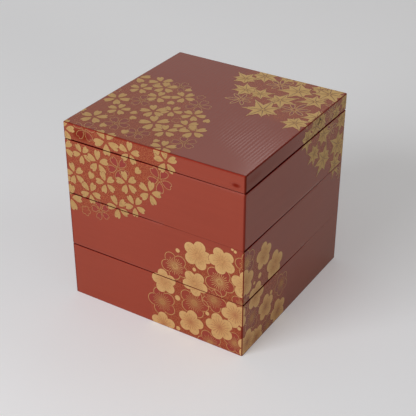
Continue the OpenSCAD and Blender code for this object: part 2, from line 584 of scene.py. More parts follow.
def gape(plan, joint):
    """How far a joint gapes round the box, as a share of SLOT_HALF: the values of JOINT_FIT on the front
    and on the right side, and EVEN_FIT elsewhere."""
    on_front, on_right = JOINT_FIT[joint]
    front = np.interp(plan[:, 0], np.linspace(-HALF[0], HALF[0], len(on_front)), on_front)
    right = np.interp(plan[:, 1], np.linspace(-HALF[1], HALF[1], len(on_right)), on_right)
    front_gap, right_gap = HALF[1] + plan[:, 1], HALF[0] - plan[:, 0]
    is_front = (front_gap < SIDE_REACH) & (front_gap <= right_gap)
    is_right = (right_gap < SIDE_REACH) & ~is_front
    return np.select([is_front, is_right], [front, right], EVEN_FIT)


def fitted(points):
    """Draws the rows beside each joint towards it or away from it by how far it gapes there."""
    points = points.copy()
    for joint in range(1, len(TIERS) + 1):
        height = points[:, 2] - joint * TIER_H
        beside = np.abs(height) < SLOT_HALF + SOFT * JUST_PAST
        points[beside, 2] += (height * (gape(points, joint) - 1))[beside]
    return points


def wall_profile(floor_z):
    """Section of a wall: up the outside, over the rim, down the inside, back underneath. Also gives how
    many of its rows are outside."""
    rim_z = floor_z + TIER_H
    on_table = floor_z < SOFT
    outer_low = arc(SOFT, floor_z + SOFT, 270, 180, SOFT) if on_table else stepped(floor_z, 1)
    outer_high = stepped(rim_z, -1)
    face = rows_between(outer_low[-1], outer_high[0])
    inner = [(INNER - SOFT, rim_z), (INNER, rim_z - SOFT),
             (INNER, floor_z + SOFT), (INNER - SOFT, floor_z)]
    section = np.concatenate([outer_low, face, outer_high, inner])
    radius = np.maximum(CORNER - section[:, 0], TIGHT_CORNER)
    return np.column_stack([section, radius]), len(section) - len(inner)


print("wall section of", len(wall_profile(0.0)[0]), "rows")

# %% [markdown]
# ## Painted shade on arrises and in slots
# A rounded arris mirrors the dark room beside the bright one, and little light reaches into a slot. So
# both are painted a darker, deeper red that blurs the gloss, more on the lid's arris than on the corners.
# A shader could find an arris from the bend of the surface, but only Cycles can do that, and not finely.
# Here each point knows whether it lies on a corner, on the lid's arris or in a slot.

# %% Painted edge shade and skins
# How much painted shade each place takes: the corners, the lid's arris, the slots.
CORNER_SHADE = 0.7
LID_ARRIS_SHADE = 0.88
SLOT_SHADE = 1.0


def skin_attributes(points, outside):
    """On the outer rows: the powder, the painted shade of arrises and slots, and 1 for level on the top.
    On
    the other rows: 1 for inside."""
    is_outer = np.arange(len(points)) < outside * RING
    side_gaps = HALF[None] - np.abs(points[:, :2])
    top_gap = TOP - points[:, 2]
    corner = side_gaps.max(axis=1) < CORNER * JUST_PAST
    top_arris = np.maximum(side_gaps.min(axis=1), top_gap) < ARRIS * JUST_PAST
    slot = (side_gaps.min(axis=1) > 0.02 * MM) & (top_gap > 2 * MM) & ~corner
    edge_shade = np.maximum.reduce([corner * CORNER_SHADE, top_arris * LID_ARRIS_SHADE, slot * SLOT_SHADE]) * is_outer
    return {
        "dust": dust_at(points) * is_outer * (edge_shade == 0), "inside": 1.0 - is_outer, "edge": edge_shade,
        "level": (top_gap < 0.01 * MM) * 1.0,
    }


def carried_skin(name, body, profile, outside=0, closed_rows=True):
    """A skin with this profile. The first rows, as many as outside says, are the outer lacquer and follow
    the joints; a skin without outer rows is inside lacquer."""
    points = carried_round(profile).reshape(-1, 3)
    faces = grid_faces(len(profile), RING, closed_rows)
    if outside:
        finish = lid_lacquer if body == "lid" else tier_lacquer
        attributes = skin_attributes(points, outside)
        skin = new_piece(name, fitted(points), faces, finish, body, attributes)
    else:
        skin = new_piece(name, points, faces, inside_lacquer, body)
    close_up(skin)
    return skin


# How much painted shade the corners, the lid's arris and the slots take.
print("wear:", CORNER_SHADE, "corners,", LID_ARRIS_SHADE, "lid's arris,", SLOT_SHADE, "slots")

# %% [markdown]
# ## Three tiers alike
# The tiers are made to one pattern so that they can be stacked in any order. Copies of one would share
# their painted edge shade and powder, so each is carried round at its own height and reads both there.

# %% Tier skins
for number, tier in enumerate(TIERS):
    z = number * TIER_H
    walls = carried_skin(tier + "_walls_lacquer", tier, *wall_profile(z))
    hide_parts(*[f"{tier}_{side}_wall" for side in ("front", "right", "back", "left")])

    lip_low, lip_high = z + TIER_H - LIP_GRIP, z + TIER_H + LIP_TOP
    lip_in, lip_out = WALL_T + LIP_T, WALL_T + LIP_FIT
    section = np.concatenate([
        arc(lip_out + ARRIS, lip_high - ARRIS, 180, 90, ARRIS),
        arc(lip_in - ARRIS, lip_high - ARRIS, 90, 0, ARRIS),
        [(lip_in, lip_low), (lip_out, lip_low)],
    ])
    profile = np.column_stack([section, np.full(len(section), LIP_CORNER)])
    lip_skin = carried_skin(tier + "_lip_lacquer", tier, profile)
    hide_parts(*[f"{tier}_{side}_lip" for side in ("front", "right", "back", "left")])

    board_edge = WALL_T - BOARD_TUCK
    top_z, under_z = z + FLOOR_HIGH, z + FLOOR_LOW
    profile = [(HALF[0], under_z, 0.0), (board_edge, under_z, LIP_CORNER),
               (board_edge, top_z, LIP_CORNER), (HALF[0], top_z, 0.0)]
    board = carried_skin(tier + "_floor_lacquer", tier, profile, closed_rows=False)
    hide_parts(tier + "_bottom_board")
    print(tier, "skins", [len(skin.data.polygons) for skin in (walls, lip_skin, board)])

# %% [markdown]
# ## The lid
# A shallow cap: a rim and a flat top with its arris just broken. A box hollowed out and bevelled would
# have the same form, but no rows of points to carry the painted arris shade and the powder. One open
# profile does both, from the middle of the top, out over the arris and down the outside, then up inside
# the rim to the middle of the ceiling. Two extra rows lie close to the arris, so that its painted shade
# stays narrow.

# %% Lid skin
outer_low = stepped(LID_Z, 1)
outer_high = arc(ARRIS, TOP - ARRIS, 180, 90, ARRIS)
over_arris = outer_high[-1] + (ARRIS_STRIP, 0)
under_arris = outer_high[0] - (0, ARRIS_STRIP)
top_rows = np.concatenate([[over_arris], rows_between(over_arris, (HALF[0], TOP)), [(HALF[0], TOP)]])
side_rows = np.concatenate([[under_arris], rows_between(under_arris, outer_low[-1])])
inner = [(INNER - SOFT, LID_Z), (INNER, LID_Z + SOFT), (INNER, LID_CEILING), (HALF[0], LID_CEILING)]
section = np.concatenate([top_rows[::-1], outer_high[::-1], side_rows, outer_low[::-1], inner])
radius = np.minimum(np.maximum(CORNER - section[:, 0], TIGHT_CORNER), HALF[0] - section[:, 0])
profile = np.column_stack([section, radius])
lid_skin = carried_skin("lid_lacquer", "lid", profile, len(section) - len(inner), closed_rows=False)
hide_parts("lid_top_board", *[f"lid_{side}_rim" for side in ("front", "right", "back", "left")])
print("lid skin", len(lid_skin.data.polygons), "faces")

# %% [markdown]
# ## Gold, drawn flat and folded over the box
# The painter lays each roundel over the closed box, so flowers bend over its edges and are cut by the
# joints between the tiers. The same is done here: shapes are drawn flat in millimetres on one face, cut
# along the edges and joints, folded round the edges, and given the thickness of a gold film. A picture
# projected on the box would smear past each edge, and would not part with the tiers. Along every edge
# and joint a strip is left out, where the gold of the real box is rubbed off the arris. What is drawn
# on the top and reaches past the lid's rim goes on over the tier below.

# %% Faces of the box and a flat drawing
# The corner where a face's drawing starts, then its directions to the right, down and outwards.
FACES = {
    "top": ((-1, 1), (1, 0, 0), (0, -1, 0), (0, 0, 1)),
    "front": ((-1, -1), (1, 0, 0), (0, 0, -1), (0, -1, 0)),
    "right": ((1, -1), (0, 1, 0), (0, 0, -1), (1, 0, 0)),
    "back": ((1, 1), (-1, 0, 0), (0, 0, -1), (0, 1, 0)),
    "left": ((-1, 1), (0, -1, 0), (0, 0, -1), (-1, 0, 0)),
}
SIDES = [face for face in FACES if face != "top"]
WIDE, DEEP = WIDTH / MM, DEPTH / MM
ENDLESS = 1e4
JOINTS_DOWN = [(TOP - LID_Z + TIER_H * k) / MM for k in range(len(TIERS) + 1)]

# The half widths, in mm, of the strips that are left bare.
WORN = 0.7
JOINT_WORN = {"front": 0.50, "right": 1.05, "back": 0.80, "left": 0.80}
LID_WORN = 0.80

FILM = 0.07
LAYER = 0.0012
GROUND_LIFT = 0.02


class Drawing:
    """Flat shapes on one face: points (u to the right, v down, lift) in mm, shade, and faces."""

    def __init__(self, home):
        self.home = home
        self.points = []
        self.shades = []
        self.faces = []
        self.count = 0
        self.layer = 0

    def add(self, flat, shade, faces):
        """flat is (shapes, points, 2) and faces holds one shape's faces; each shape is a hair higher."""
        shapes, size = flat.shape[:2]
        lift = GROUND_LIFT + LAYER * (self.layer + 2 * np.arange(shapes))
        lifts = np.broadcast_to(lift[:, None, None], (shapes, size, 1))
        self.points.append(np.concatenate([flat, lifts], axis=2).reshape(-1, 3))
        self.shades.append(np.broadcast_to(shade, (shapes, size)).reshape(-1))
        starts = self.count + size * np.arange(shapes)
        self.faces += [tuple(int(start + k) for k in face) for start in starts for face in faces]
        self.count += shapes * size


def folded(along, length, radius):
    """Folds a flat coordinate over the nearer of two edges at 0 and length. Before the edge it stays;
    on the arris it follows a quarter circle; past it, it becomes depth. Gives along, depth, side, turn."""
    far = along > length / 2
    past = np.where(far, along - length, -along)
    side = np.where(far, 1.0, -1.0)
    turn = np.clip((past + radius) / (2 * radius), 0, 1) * math.pi / 2
    reach = np.where(past < -radius, past, radius * np.sin(turn) - radius)
    depth = np.where(past < radius, radius - radius * np.cos(turn), past)
    return np.where(far, length, 0.0) + side * reach, depth, side, turn


def onto_box(home, flat):
    """Flat (u, v, lift) in mm to points in metres: folded over the edges, lifted along the normal."""
    u, v, lift = flat.T
    corner, *directions = FACES[home]
    right, down, out = np.array(directions, float)
    on_top = home == "top"
    u_at, u_depth, u_side, u_turn = folded(u, WIDE, (ARRIS if on_top else CORNER) / MM)
    v_at, v_depth, v_side, v_turn = folded(v, DEEP if on_top else ENDLESS, ARRIS / MM)
    normal = (out * (np.cos(u_turn) * np.cos(v_turn))[:, None]
              + right * (u_side * np.sin(u_turn))[:, None]
              + down * (v_side * np.sin(v_turn))[:, None])
    normal = normal / np.linalg.norm(normal, axis=1, keepdims=True)
    place = (right * u_at[:, None] + down * v_at[:, None] - out * (u_depth + v_depth)[:, None]) * MM
    place = place + np.array([*(corner * HALF), TOP])
    return place + normal * (lift * MM)[:, None]


print("faces:", list(FACES))

# %% [markdown]
# ## Cutting a drawing and sharing it out
# On the real box the joints part the gold, and along the edges it is rubbed away. Boolean cuts on the
# folded films would be slow and fragile; on the flat drawing each cut is one straight line. Then each
# small polygon needs only its middle to say which body it rides on, or that it is left bare.

# %% Cuts and owners
def worn_round(home):
    """The bare strip at a joint on the side to the left of this one, on this one and on the next."""
    at = SIDES.index(home)
    return [JOINT_WORN[SIDES[(at + step) % len(SIDES)]] for step in (-1, 0, 1)]


def cut_lines(home):
    """Where a drawing on this face is cut: (axis, place in mm), either side of each edge and joint."""
    edges = [(0, 0.0), (0, WIDE), (1, 0.0)] + ([(1, DEEP)] if home == "top" else [])
    lines = [(axis, edge + sign * WORN) for axis, edge in edges for sign in (-1, 1)]
    if home == "top":
        rims = [JOINTS_DOWN[0] + sign * LID_WORN for sign in (-1, 1)]
        lines += [(axis, -rim) for axis in (0, 1) for rim in rims]
        lines += [(axis, length + rim) for axis, length in ((0, WIDE), (1, DEEP)) for rim in rims]
    else:
        lines += [(1, joint + sign * bare) for joint in JOINTS_DOWN for sign in (-1, 1)
                  for bare in set(worn_round(home))]
    return lines


def cut_flat(drawing):
    """The drawing cut along its lines: points, their shades, and polygons with their middles."""
    mesh = bpy.data.meshes.new("flat_drawing")
    mesh.from_pydata(np.concatenate(drawing.points), [], drawing.faces)
    layer = mesh.attributes.new("from_centre", "FLOAT", "POINT")
    layer.data.foreach_set("value", np.concatenate(drawing.shades).astype(np.float32))
    work = bmesh.new()
    work.from_mesh(mesh)
    for axis, at in cut_lines(drawing.home):
        spot, normal = np.zeros(3), np.zeros(3)
        spot[axis], normal[axis] = at, 1.0
        geometry = work.verts[:] + work.edges[:] + work.faces[:]
        bmesh.ops.bisect_plane(work, geom=geometry, plane_co=spot, plane_no=normal, dist=1e-5)
    work.to_mesh(mesh)
    work.free()
    flat = np.zeros(len(mesh.vertices) * 3)
    mesh.vertices.foreach_get("co", flat)
    shade = np.zeros(len(mesh.vertices), np.float32)
    mesh.attributes["from_centre"].data.foreach_get("value", shade)
    polygons = [tuple(polygon.vertices) for polygon in mesh.polygons]
    middles = np.array([polygon.center for polygon in mesh.polygons])
    bpy.data.meshes.remove(mesh)
    return flat.reshape(-1, 3), shade, polygons, middles


def beyond(at, length):
    """1 past either edge, 0 inside, and -1 on the worn strip along an edge."""
    past = np.maximum(at - length, -at)
    return np.where(np.abs(past) < WORN, -1, (past > 0).astype(int))


def owners(home, u, v):
    """The number in BODIES that each place of a face's drawing rides on, and -1 where it is left bare."""
    lid = BODIES.index("lid")
    across = beyond(u, WIDE)
    down = beyond(v, DEEP if home == "top" else ENDLESS)
    if home == "top":
        past = np.max([-u, -v, u - WIDE, v - DEEP], axis=0) - JOINTS_DOWN[0]
        owner = np.where(past < -LID_WORN, lid, np.where(past > LID_WORN, lid - 1, -1))
    else:
        owner = lid - np.searchsorted(JOINTS_DOWN, v)
        before, here, after = worn_round(home)
        bare = np.where(u < 0, before, np.where(u > WIDE, after, here))
        owner[np.abs(v[:, None] - JOINTS_DOWN).min(axis=1) < bare] = -1
    owner[(across < 0) | (down < 0) | (across + down > 1)] = -1
    return owner


print("joints at", [round(down, 1) for down in JOINTS_DOWN], "mm from the top")

# %% [markdown]
# ## Gilding
# Gold on lacquer is a coat with hardly any thickness. A bare surface would do for a picture, but a part
# has to be solid. So what is left of a drawing is folded onto the box, a hair above the lacquer, and
# thickened down into it, one piece for each body. Solidify does that, because it closes the cut edges
# by itself.

# %% Gilding
def gild(drawing, name, finish):
    """Cuts the drawing, folds it, and makes one film for each body that it lies on."""
    flat, shade, polygons, middles = cut_flat(drawing)
    owner = owners(drawing.home, middles[:, 0], middles[:, 1])
    solid = onto_box(drawing.home, flat)
    made = {}
    for number, body in enumerate(BODIES):
        chosen = [polygons[k] for k in np.flatnonzero(owner == number)]
        if not chosen:
            continue
        used = np.unique(np.concatenate(chosen))
        new_number = np.full(len(solid), -1)
        new_number[used] = np.arange(len(used))
        faces = [tuple(new_number[list(face)]) for face in chosen]
        attributes = {"from_centre": shade[used], "level": solid[used, 2] > TOP - SOFT}
        piece = new_piece(f"{name}_on_{body}", solid[used], faces, finish, body, attributes, False)
        film = piece.modifiers.new("film", "SOLIDIFY")
        film.thickness = FILM * MM
        film.offset = -1.0
        made[piece.name] = len(faces)
    print(name, "->", made)


print("film", FILM, "mm thick")

# %% [markdown]
# ## The shapes of the flowers
# Every motif is a few outlines placed by centre, size and turn. Filled shapes are fans from a middle
# point to the outline; the drawn ones are thin bands along it, with fine strokes for the stamens. Curve
# objects could draw them too, but arrays place hundreds of petals at once.

# %% Copies, fans, bands and strokes
def placed(shape, u, v, turn, size=1.0):
    """Copies of a local shape (x ahead, y to the left) at each u, v, turned anticlockwise in degrees."""
    u, v, turn, size = np.broadcast_arrays(*(np.asarray(n, float) for n in (u, v, turn, size)))
    cos, sin = np.cos(np.radians(turn))[:, None], np.sin(np.radians(turn))[:, None]
    x, y = shape[..., 0] * size[:, None], shape[..., 1] * size[:, None]
    return np.stack([u[:, None] + x * cos - y * sin, v[:, None] - x * sin - y * cos], axis=2)


MIDDLE = np.array([0.0, 0.0])


def filled(outline, middle=MIDDLE, rings=(1.0,)):
    """Points: the middle, then rings of the outline drawn in towards it. Faces: a fan, then quads."""
    count = len(outline)
    grid = [middle + share * (outline - middle) for share in rings]
    points = np.concatenate([[middle]] + grid)
    j = np.arange(count)
    j_next = (j + 1) % count
    faces = [tuple(f) for f in np.stack([np.zeros_like(j), 1 + j, 1 + j_next], axis=1)]
    for k in range(len(rings) - 1):
        a, b = 1 + k * count, 1 + (k + 1) * count
        faces += [tuple(f) for f in np.stack([a + j, b + j, b + j_next, a + j_next], axis=1)]
    return points, faces


def widened(outline, by):
    """The outline moved outwards by that much along its normals."""
    ahead = np.roll(outline, -1, axis=0) - np.roll(outline, 1, axis=0)
    normal = np.stack([ahead[:, 1], -ahead[:, 0]], axis=1)
    return outline + by * normal / np.linalg.norm(normal, axis=1, keepdims=True)


def band(outline, width):
    """A closed line of that width along an outline: its points moved out and in along the normals."""
    points = np.concatenate([widened(outline, -width / 2), widened(outline, width / 2)])
    j = np.arange(len(outline))
    j_next = (j + 1) % len(outline)
    return points, np.stack([j, j + len(outline), j_next + len(outline), j_next], axis=1)


def strokes(count, start, end, width):
    """Fine straight strokes all round a centre, each a thin quad from start to end, every other one 12 %
    shorter."""
    turn = np.radians(360.0 * np.arange(count) / count)
    ahead = np.stack([np.cos(turn), np.sin(turn)], axis=1)
    aside = np.stack([-ahead[:, 1], ahead[:, 0]], axis=1) * width / 2
    far = ahead * (end * (1 - 0.12 * (np.arange(count) % 2)))[:, None]
    near = ahead * start
    points = np.stack([near - aside, far - aside, far + aside, near + aside], axis=1)
    return points.reshape(-1, 2), np.arange(4 * count).reshape(-1, 4)


print("copies, fans, bands and strokes ready")

# %% [markdown]
# ## Petals, lobes and leaves
# Cherry, plum and maple are old emblems of the seasons, and each has one simple rule: a cherry petal is
# a notched teardrop, a plum is five overlapping circles, and a maple leaf is seven toothed points. They
# could be traced point by point; as formulas they stay smooth, and each leaf can sway its own way.

# %% Petals, lobes and leaves
def pointed_loop(width, root, tip):
    """Out from 0 to 1 and back: half width = k s^root (1-s)^tip along it, with k for the right width."""
    s = (1 - np.cos(np.linspace(0, math.pi, 11))) / 2
    half = s ** root * (1 - s) ** tip
    half = half / half.max() * width / 2
    return np.concatenate([s, s[::-1][1:-1]]), np.concatenate([-half, half[::-1][1:-1]])


PETAL_START = 0.17
BLADE_START = 0.12


def cherry_petal(width=0.54, notch=0.16):
    """A teardrop from near the centre, its tip pulled in by a small bell curve, which makes the notch."""
    x, y = pointed_loop(width, 0.8, 0.42)
    x = x - notch * np.exp(-((y / (width * 0.13)) ** 2)) * x ** 12
    return np.stack([PETAL_START + x * (1 - PETAL_START), y], axis=1)


def blade(width=0.27):
    """One long pointed loop, for a lobe of a drawn leaf."""
    x, y = pointed_loop(width, 0.9, 0.8)
    return np.stack([BLADE_START + x * (1 - BLADE_START), y], axis=1)


def plum_outline(steps=60, reach=0.595, lobe=0.405):
    """Five round lobes: the farthest of five circles, reach from the centre and lobe in radius."""
    turn = np.linspace(0, 2 * math.pi, steps, endpoint=False)
    off = (turn[:, None] - np.radians(72.0 * np.arange(5))[None] + math.pi) % (2 * math.pi) - math.pi
    inside = lobe ** 2 - (reach * np.sin(off)) ** 2
    ahead = reach * np.cos(off)
    rays = np.where((inside > 0) & (ahead > 0), ahead + np.sqrt(np.maximum(inside, 0)), 0)
    return np.stack([np.cos(turn), np.sin(turn)], axis=1) * rays.max(axis=1)[:, None]


def disc(radius, steps=12):
    """A circle round the centre."""
    turn = np.linspace(0, 2 * math.pi, steps, endpoint=False)
    return np.stack([np.cos(turn), np.sin(turn)], axis=1) * radius


# Each lobe's direction from the tip in degrees, and its length.
LEAF_LOBES = ((-154, 0.74), (-103, 0.86), (-51, 0.94), (0, 1.06), (51, 0.94), (103, 0.86), (154, 0.74))
LOBE_HALF = 25.5
NOTCH = 0.45
TOOTH_AT = np.array([0.10, 0.28, 0.34, 0.56, 0.62, 0.84])
TOOTH_REACH = np.array([0.70, 0.41, 0.46, 0.19, 0.24, 0.07])
STALK_TURN = (177.5, 178.5, 181.5, 182.5)
STALK_REACH = (0.35, 0.62, 0.62, 0.35)


def swayed_lobes(kind):
    """Each kind of leaf sways its lobes its own way. Gives their directions, what is added to them,
    5 sin(1.7 k + 2.1 kind) degrees, and their lengths times 1 + 0.10 sin(2.4 k + kind)."""
    angle, long = np.array(LEAF_LOBES, float).T
    k = np.arange(len(angle))
    return angle, 5.0 * np.sin(1.7 * k + 2.1 * kind), long * (1 + 0.10 * np.sin(2.4 * k + kind))


def maple_outline(kind=0.0):
    """Seven pointed, toothed lobes and a stalk, as radius by angle. From a notch to the tip and on to
    the next the radius is notch + reach (length - notch); the notch is NOTCH + 0.05 sin(1.3 kind)."""
    share = np.concatenate([[-1.0], -TOOTH_AT[::-1], [0.0], TOOTH_AT])
    reach = np.concatenate([[0.0], TOOTH_REACH[::-1], [1.0], TOOTH_REACH])
    notch = NOTCH + 0.05 * math.sin(1.3 * kind)
    angle, sway, long = (lobes[:, None] for lobes in swayed_lobes(kind))
    turn = np.radians(np.append(angle + sway * (1 - share ** 2) + share * LOBE_HALF, STALK_TURN))
    radius = np.append(notch + reach * (long - notch), STALK_REACH)
    return np.stack([np.cos(turn), np.sin(turn)], axis=1) * radius[:, None]


print("leaf outline of", len(maple_outline()), "points")

# %% [markdown]
# ## Laying out the three roundels
# Solid flowers are filled gold; drawn flowers keep the plain lacquer inside a fine gold line. They could
# be scattered at random, but a painter sets each one against its neighbours. So each list is one kind of
# flower on one face: place from the face's left and top edges in mm, radius, and the direction of one
# petal in degrees, anticlockwise from the right.

# %% Places of the motifs
CHERRY_FRONT = [
    (1, 7, 12.5, 8), (49, 7.5, 15, -88), (74.5, 12, 12, 12), (114, 9.5, 13, 26), (20, 28.5, 11, 50),
    (38, 32, 13, 17), (-1, 27.5, 12, 40), (9.5, 52.5, 12, 38), (46, 51.5, 12, -33), (70.5, 44, 12.5, -36),
    (95.8, 46.5, 13, 6), (27, 67.5, 12.5, -8), (1.5, 80, 15, 4), (59, 73.5, 13, -25), (78.5, 66, 12, -16),
]
CHERRY_FRONT_DRAWN = [(24.5, 1.5, 13, -54), (61.5, 32, 12.5, -20), (107, 30, 13.5, -17), (38, 84, 11, -35)]
CHERRY_TOP = [
    (27.5, 75.5, 13, -15), (38, 84, 13, -30), (18.8, 98, 12, 30), (65.8, 93, 12.5, -3),
    (45, 105.5, 12.5, 30), (95.3, 121, 12.5, 15), (73, 124.5, 11.5, 10), (58.5, 133.5, 13.5, -20),
    (73.3, 153.5, 15, -20), (102, 143.5, 12.5, -9), (113, 149.5, 13.5, -21), (91, 162, 12.5, -24),
    (28.5, 147.5, 12, 31), (13, 129, 13.5, 16), (18.5, 172.5, 13.5, 31), (0.5, 78, 14, -36),
    (-9, 166, 13, 0), (107, 188.5, 12.5, 38),
]
CHERRY_TOP_DRAWN = [
    (88, 101, 13, 10), (36, 120, 12, 40), (45, 172, 13, 0), (72, 178, 12, 25), (118, 172, 12, 50),
    (50, 74, 11, 15),
]
CHERRY_LEFT = [
    (184, 20, 13, 20), (150, 12, 13, 55), (120, 22, 12.5, 5), (166, 38, 13, -25), (138, 44, 12.5, 30),
    (187, 58, 12.5, 60), (112, 50, 12, 15), (158, 66, 13, 0), (180, 84, 12.5, 35), (133, 70, 12, -15),
    (103, 30, 11, 40),
]
CHERRY_LEFT_DRAWN = [(172, 8, 12, 10), (128, 90, 11, 40), (152, 26, 11, 0), (116, 6, 12, 30)]
LOOSE_FRONT = [(29, 49, 10, 70), (83, 28, 9.5, 45)]
LOOSE_TOP = [
    (60.5, 77, 9, 55), (62, 109, 10, -65), (112, 124, 9.5, -80), (61, 182.5, 10, 105), (44.5, 146, 9, 50),
    (50, 154.5, 9.5, -45), (36, 181.5, 9.5, -48), (95, 182, 8, 80),
]
LOOSE_LEFT = [(145, 92, 9, 60), (97, 55, 9, -40), (172, 62, 9, 110)]
ROSETTES_FRONT = [(20, 90, 5.5, 0)]
ROSETTES_TOP = [(88, 138, 5, 10), (80, 84, 4.5, 30), (28, 160, 4.5, 0)]

PLUM_FRONT = [
    (146.5, 96, 15.5, -69), (172.5, 93.5, 14.3, -29), (143.5, 128.5, 14, -14), (109, 139.3, 14, -44),
    (197.5, 111.5, 15.5, 20), (187, 147.5, 14.8, -30), (170.5, 168, 15.3, -36), (138.5, 175, 14.3, 7),
    (107, 190, 13.8, 22), (204, 181.5, 14.5, 8),
]
PLUM_FRONT_DRAWN = [
    (121.5, 117, 15, -22), (170, 116.5, 15.8, -12), (164, 139.5, 13.5, -77), (142.5, 151, 16, 5),
    (106, 164, 16, -35), (200, 90, 14, 28), (195, 134, 12.5, 9), (160, 191, 14, 45), (187, 180, 12, -50),
]
PLUM_RIGHT = [
    (36, 99, 14, 18), (57.5, 121.5, 15.5, 14), (23.5, 136.5, 14.3, -3), (43, 161.5, 14, 18),
    (26, 187, 13, 45), (68, 182, 14.5, 30),
]
PLUM_RIGHT_DRAWN = [(17, 158, 14, 10), (73, 153, 12.5, 40), (48, 188, 13, 0)]
# A bud is round, so it has no direction.
BUDS_FRONT = [
    (125, 98.5, 2.3), (143, 113, 2), (124, 152.5, 3), (157, 157.5, 2.2), (124, 188.5, 2.4),
    (191.5, 161, 2), (183, 77, 1.4), (186, 78.5, 1.6),
]
BUDS_RIGHT = [(29.5, 117.5, 3), (19.5, 120, 1.8), (53, 151, 2.5)]

MAPLE_TOP = [
    (108, 8, 18.5, -12), (94, 23, 15.5, 140), (108, 46, 16.5, 162), (124.5, 47, 15.5, 40),
    (148, 49.5, 20, -8), (170, 7, 14, 20), (153.5, 22, 20, 207), (182, 12, 21, -48),
    (177.5, 34.5, 18, 213), (144, 76, 23.5, 143), (183, 85, 17, -53), (194.5, 64, 16, 213),
    (131, 2, 11, -80), (146, 0, 12, -100),
]
MAPLE_TOP_DRAWN = [(115, 67, 14.5, 200), (169, 61, 16, 75), (131, 19, 15, 100)]
MAPLE_RIGHT = [
    (129, 8, 16, -30), (112.5, 14.5, 14.5, -92), (146.5, 24, 15.5, -10), (129, 37, 15.5, -150),
    (186, 25, 15.5, -60), (150, 52, 19, 180), (196, 58, 16, 200), (180.5, 49.5, 19, 142),
    (177, 70.5, 17, -59), (172, 12.5, 12, 90), (191, 7, 12, 170), (141, 8, 12, 75),
]
MAPLE_RIGHT_DRAWN = [(163, 24, 14, 100), (160, 6, 12, 40), (192, 84, 12, 40)]
MAPLE_BACK = [
    (34, 13, 16, -60), (58, 22, 16, 120), (42, 45, 18, 200), (14, 40, 16, 40), (72, 46, 16, 60),
    (16, 70, 16, -20), (90, 18, 15, -90), (56, 72, 16, 10), (33, 88, 14, 100),
]
MAPLE_BACK_DRAWN = [(74, 70, 14, 150), (92, 44, 13, 30), (12, 10, 14, 80)]
print("flowers:", len(CHERRY_FRONT + CHERRY_TOP + CHERRY_LEFT), "cherries,", len(PLUM_FRONT + PLUM_RIGHT),
      "plums,", len(MAPLE_TOP + MAPLE_RIGHT + MAPLE_BACK), "maple leaves")

# %% [markdown]
# ## The painters
# Each kind of flower has its own brushwork. A filled one is gold, on a slightly wider one in red that
# parts it from its neighbours; a plum then gets its stamens and a leaf its veins, drawn over the gold in
# red. A drawn one is a gold line round bare lacquer. The plums low on the box still show every stamen;
# those higher up are rubbed plainer. No two filled leaves are quite alike. One flower could be modelled
# and copied as objects, but a painter here adds all its copies to one flat drawing, which is then cut
# and folded as a whole.

# %% Cherry painters
# Widths of lines in mm, on flowers of the sizes below; they grow with the flower.
STROKE = 0.58
THIN = 0.38
FINE = 0.32
RIM = 0.38
CHERRY_SIZE = 12.5
PLUM_SIZE = 14
LEAF_SIZE = 16
BLADE_SIZE = 15
ROSETTE_SIZE = 5
PETAL_MIDDLE = np.array([0.6, 0.0])
PETAL_RINGS = (0.55, 1.0)
PETAL_TURNS = (0, 72, 144, 216, 288)

# Stamens: how many, and from where to where, in mm.
CHERRY_STAMENS = (10, 1.2, 4.6)


def columns(rows):
    """A list of flowers to one array per column: place to the right, place down, size, direction."""
    return np.array(rows, float).T


def stamp(drawing, shape, flowers, shade, turned=0.0, scaled=1.0):
    """Adds a copy of a shape, its points and faces, for each flower, turned and scaled that much more."""
    points, faces = shape
    u, v, size, turn = flowers
    drawing.add(placed(points, u, v, turn + turned, size * scaled), shade, faces)


def from_middle(shape, power=1.0):
    """The shade of each point: its distance from the flower's centre to that power, 1 at most."""
    points = shape[0]
    return np.clip(np.hypot(points[:, 0], points[:, 1]) ** power, 0, 1)


def paint_cherries(drawing, rims, rows):
    """Five filled petals round each centre, each on a slightly wider one in red."""
    flowers = columns(rows)
    petal = filled(cherry_petal(), PETAL_MIDDLE, PETAL_RINGS)
    wide = filled(widened(cherry_petal(), RIM / CHERRY_SIZE), PETAL_MIDDLE)
    for turned in PETAL_TURNS:
        stamp(rims, wide, flowers, 0.0, turned)
        stamp(drawing, petal, flowers, from_middle(petal), turned)


def draw_cherries(line, ground, rows):
    """Petals left in plain lacquer inside a fine line, with short stamens."""
    flowers = columns(rows)
    outline = cherry_petal(width=0.58)
    for turned in PETAL_TURNS:
        stamp(ground, filled(outline, PETAL_MIDDLE), flowers, 1.0, turned)
        stamp(line, band(outline, THIN / CHERRY_SIZE), flowers, 1.0, turned)
    u, v, turn = flowers[[0, 1, 3]]
    stamp(line, strokes(*CHERRY_STAMENS, FINE), (u, v, 1.0, turn), 0.5, turned=18)


def paint_loose(drawing, rows):
    """Single fallen petals, placed by their middle."""
    petal = filled(cherry_petal(width=0.72) - (0.55, 0.0), np.array([0.05, 0.0]), PETAL_RINGS)
    stamp(drawing, petal, columns(rows), 0.8)


def paint_rosettes(drawing, rows):
    """Tiny drawn flowers: a wavy ring."""
    stamp(drawing, band(plum_outline(30), FINE / ROSETTE_SIZE), columns(rows), 0.8)


print("cherry petal of", len(cherry_petal()), "points")

# %% Plum painters
# Down to PLAIN_ABOVE, in mm from the top, the filled plums are rubbed and their stamens are thin. The
# drawn ones' stamens go from pale to fresh gold between the heights of FRESH_FROM.
PLAIN_ABOVE = 140
STAMEN_WIDTH = 0.036
RUBBED_WIDTH = 0.016
FRESH_FROM, FRESH_TO = (117, 142), (1.0, 0.30)

# Stamens: how many, and from where to where. The filled plums' and their hearts are in shares of the
# radius, the drawn ones' and their eyes in mm.
FILLED_STAMENS = (17, 0.115, 0.64)
FILLED_HEART = 0.10
DRAWN_STAMENS = (25, 1.6, 9.3)
DRAWN_EYE = 1.45
DRAWN_WIDTH = 0.48


